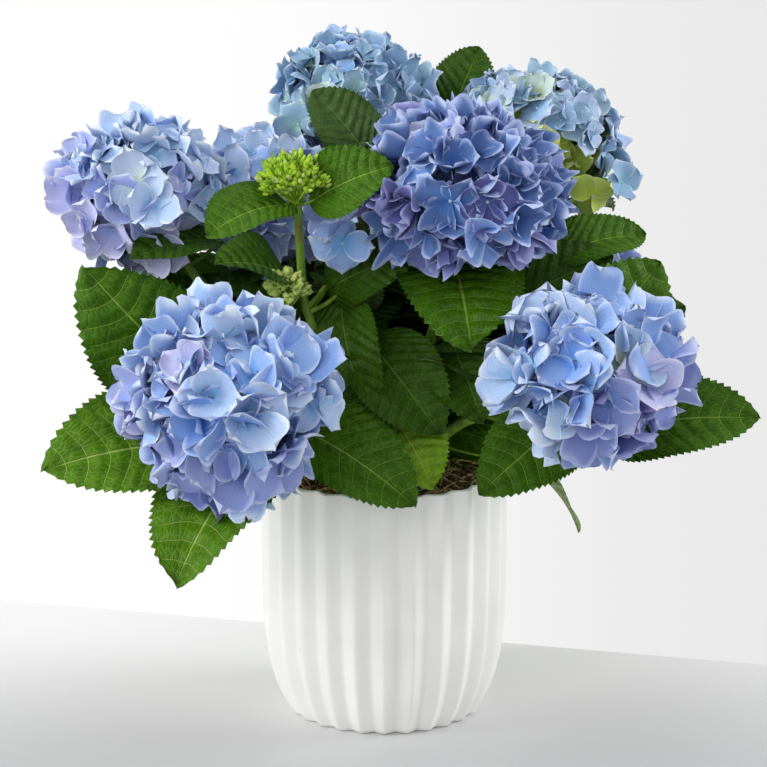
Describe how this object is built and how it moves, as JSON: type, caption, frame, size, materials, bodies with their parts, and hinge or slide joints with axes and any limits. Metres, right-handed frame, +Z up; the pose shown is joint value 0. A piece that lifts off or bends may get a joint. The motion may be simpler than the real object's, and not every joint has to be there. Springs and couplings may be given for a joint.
{
  "type": "potted hydrangea shrub",
  "caption": "Mophead hydrangea in flower, blue heads over broad toothed leaves, in a fluted white ceramic pot.",
  "frame": {"origin": "middle of the pot's flat underside, where it stands", "axes": "+Z up through the pot, -Y the side the two low front flower heads lean to, +X to the viewer's right"},
  "size_m": [0.5068, 0.4627, 0.4953],
  "materials": {
    "pot_ceramic": "satin white glaze, softly fluted",
    "moss": "matte brown moss and soil",
    "stem": "smooth green stem, reddish at the joints",
    "leaf": "satin quilted leaf with pale veins",
    "petal": "soft matte blue to lavender sepals",
    "bud": "yellow-green closed buds"
  },
  "bodies": {
    "root": {"pot": "pot_ceramic", "soil": "moss", "stem_back": "stem", "stem_back_left": "stem", "stem_back_right": "stem", "stem_bud": "stem", "stem_centre": "stem", "stem_left": "stem", "stem_low_left": "stem", "stem_low_right": "stem", "stem_mid_left": "stem", "stem_top": "stem", "stem_top_right": "stem", "bloom_back": "petal", "bloom_back_left": "petal", "bloom_back_right": "petal", "bloom_centre": "petal", "bloom_left": "petal", "bloom_low_left": "petal", "bloom_low_right": "petal", "bloom_mid_left": "petal", "bloom_top": "petal", "bloom_top_right": "petal", "bud_head": "bud", "bud_head_small": "bud", "leaves_back_high": "leaf", "leaves_back_left": "leaf", "leaves_back_low": "leaf", "leaves_back_low_left": "leaf", "leaves_back_low_right": "leaf", "leaves_back_right": "leaf", "leaves_bud_left": "leaf", "leaves_bud_lower_left": "leaf", "leaves_bud_lower_right": "leaf", "leaves_bud_right": "leaf", "leaves_core_back": "leaf", "leaves_core_left": "leaf", "leaves_core_right": "leaf", "leaves_front": "leaf", "leaves_front_left": "leaf", "leaves_left_back": "leaf", "leaves_left_high": "leaf", "leaves_left_low": "leaf", "leaves_left_mid": "leaf", "leaves_left_under": "leaf", "leaves_mid": "leaf", "leaves_mid_left": "leaf", "leaves_mid_right": "leaf", "leaves_right_far": "leaf", "leaves_right_high": "leaf", "leaves_right_inner": "leaf", "leaves_right_low": "leaf", "leaves_right_mid": "leaf", "leaves_right_outer": "leaf", "leaves_right_under": "leaf", "leaves_top_back": "leaf", "leaves_top_mid": "leaf", "leaves_under_centre": "leaf"}
  },
  "joints": []
}
